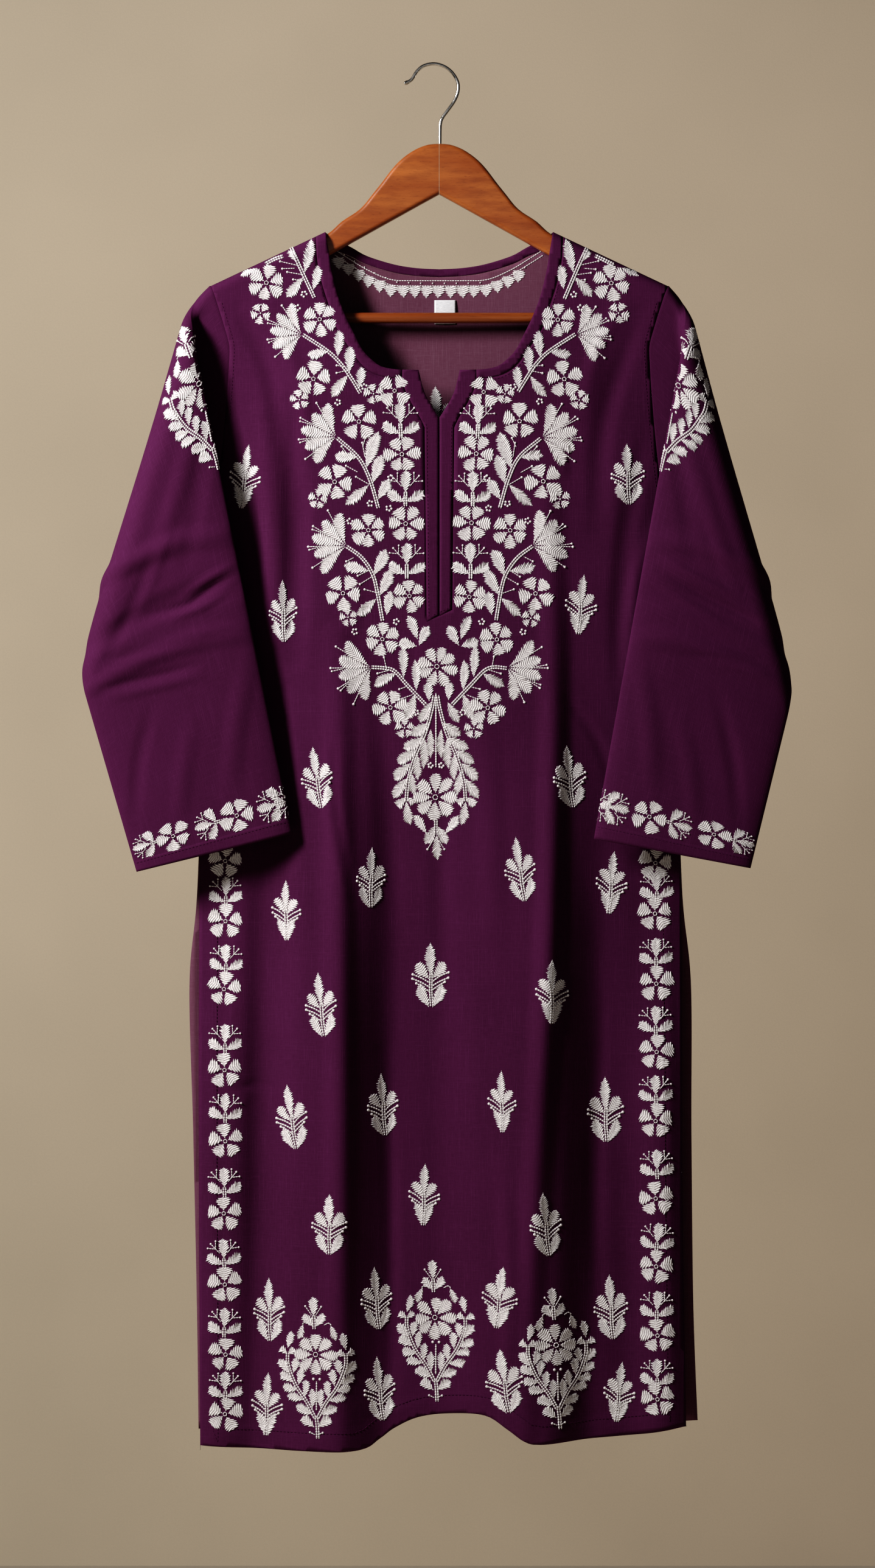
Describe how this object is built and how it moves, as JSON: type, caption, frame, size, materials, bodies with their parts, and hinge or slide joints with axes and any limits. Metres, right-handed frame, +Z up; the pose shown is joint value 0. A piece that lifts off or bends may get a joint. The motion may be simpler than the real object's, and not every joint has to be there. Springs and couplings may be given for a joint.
{
  "type": "kurta tunic on a hanger",
  "caption": "Long-sleeved cotton tunic with a notched round neck and side slits, sleeves folded forward, hung on a flat wooden hanger with a trouser bar and wire hook.",
  "frame": {"origin": "inner top of the hanger's hook, where a rail or wall hook holds it", "axes": "+Z up, +X to the right seen from the front, -Y towards the front of the garment"},
  "size_m": [0.6666, 0.0679, 1.3094],
  "materials": {
    "plum_cotton": "thin plain-woven cotton, matt",
    "white_cotton": "white embroidery thread and blank tape",
    "varnished_wood": "red-brown varnish, satin",
    "polished_steel": "polished wire"
  },
  "bodies": {
    "root": {"front_panel": "plum_cotton", "back_panel": "plum_cotton", "sleeve_left": "plum_cotton", "sleeve_right": "plum_cotton", "neck_band_front_left": "plum_cotton", "neck_band_front_right": "plum_cotton", "neck_band_back": "plum_cotton", "placket_left": "plum_cotton", "placket_right": "plum_cotton", "size_label": "white_cotton", "hanger_arm_left": "varnished_wood", "hanger_arm_right": "varnished_wood", "trouser_bar": "varnished_wood", "hanger_hook": "polished_steel"}
  },
  "joints": []
}
